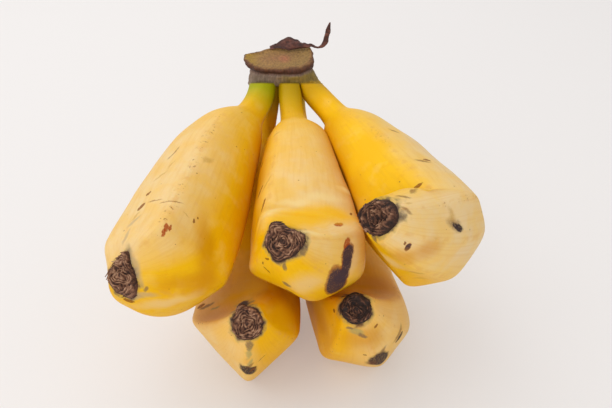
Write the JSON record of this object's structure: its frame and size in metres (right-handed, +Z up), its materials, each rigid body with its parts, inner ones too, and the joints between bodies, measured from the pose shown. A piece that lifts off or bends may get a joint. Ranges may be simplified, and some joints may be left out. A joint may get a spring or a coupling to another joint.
{
  "type": "hand of bananas",
  "caption": "Hand of short, thick, angular ripe yellow bananas in two rows, joined by their stalks at a dried brown crown, lying on its lower row.",
  "frame": {"origin": "middle of the hand's bounding box, on the surface it rests on", "axes": "+Z up, +X across the hand, +Y from the tips towards the crown"},
  "size_m": [0.1484, 0.136, 0.1233],
  "materials": {
    "yellow_skin": "waxy",
    "dried_crown": "rough",
    "dried_husk": "rough",
    "scar_tissue": "rough"
  },
  "bodies": {
    "root": {"banana_left": "yellow_skin", "banana_centre": "yellow_skin", "banana_right": "yellow_skin", "banana_lower_left": "yellow_skin", "banana_lower_right": "yellow_skin", "crown": "dried_crown", "crown_husk": "dried_husk", "scar_left": "scar_tissue", "scar_centre": "scar_tissue", "scar_right": "scar_tissue", "scar_lower_left": "scar_tissue", "scar_lower_right": "scar_tissue"}
  },
  "joints": []
}
